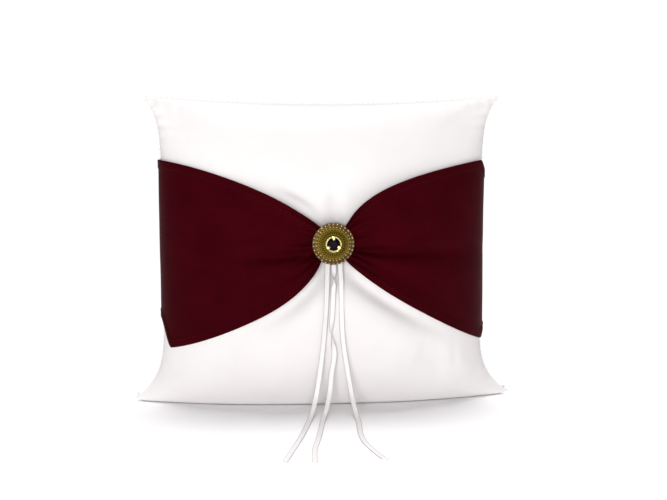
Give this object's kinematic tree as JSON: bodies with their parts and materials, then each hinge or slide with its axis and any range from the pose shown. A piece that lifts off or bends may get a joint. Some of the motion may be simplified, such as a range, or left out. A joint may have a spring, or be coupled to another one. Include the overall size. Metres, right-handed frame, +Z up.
{
  "type": "ring bearer pillow",
  "caption": "White satin ring bearer pillow standing on its lower edge, with a burgundy band gathered under a round brass button, and ribbon tails for the rings.",
  "frame": {"origin": "middle of the pillow's flat lower edge, on the surface that it stands on", "axes": "+X to the right seen from the front, +Z up, front with the button faces -Y"},
  "size_m": [0.25, 0.1775, 0.1975],
  "materials": {
    "white_satin": "satin weave",
    "burgundy_satin": "soft satin",
    "fibre_fill": "loose polyester fibre",
    "white_thread": "spun thread",
    "ribbon_satin": "single face satin ribbon",
    "antique_brass": "aged, brushed relief",
    "bead_brass": "polished beads with dark valleys",
    "pale_gold": "polished",
    "black_stone": "faceted, glossy, opaque"
  },
  "bodies": {
    "pillow": {"cover_front": "white_satin", "cover_back": "white_satin", "filling": "fibre_fill", "band_front": "burgundy_satin", "band_back": "burgundy_satin", "gather_tie": "white_thread", "edge_stitching": "white_thread", "tuft_thread": "white_thread", "back_knot": "white_thread", "ribbon_loop": "ribbon_satin", "ribbon_left": "ribbon_satin", "ribbon_middle": "ribbon_satin", "ribbon_right": "ribbon_satin"},
    "button": {"button_plate": "antique_brass", "shank_loop": "antique_brass", "filigree_disc": "antique_brass", "outer_beads": "bead_brass", "inner_beads": "bead_brass", "stone_bezel": "pale_gold", "centre_stone": "black_stone"}
  },
  "joints": [
    {"name": "button_turn", "type": "hinge", "parent": "pillow", "child": "button", "pos_m": [0.004, -0.0336, 0.106], "axis": [0, -1, 0], "range_deg": [-25, 25], "stiffness_Nm_per_rad": 0.0004}
  ]
}
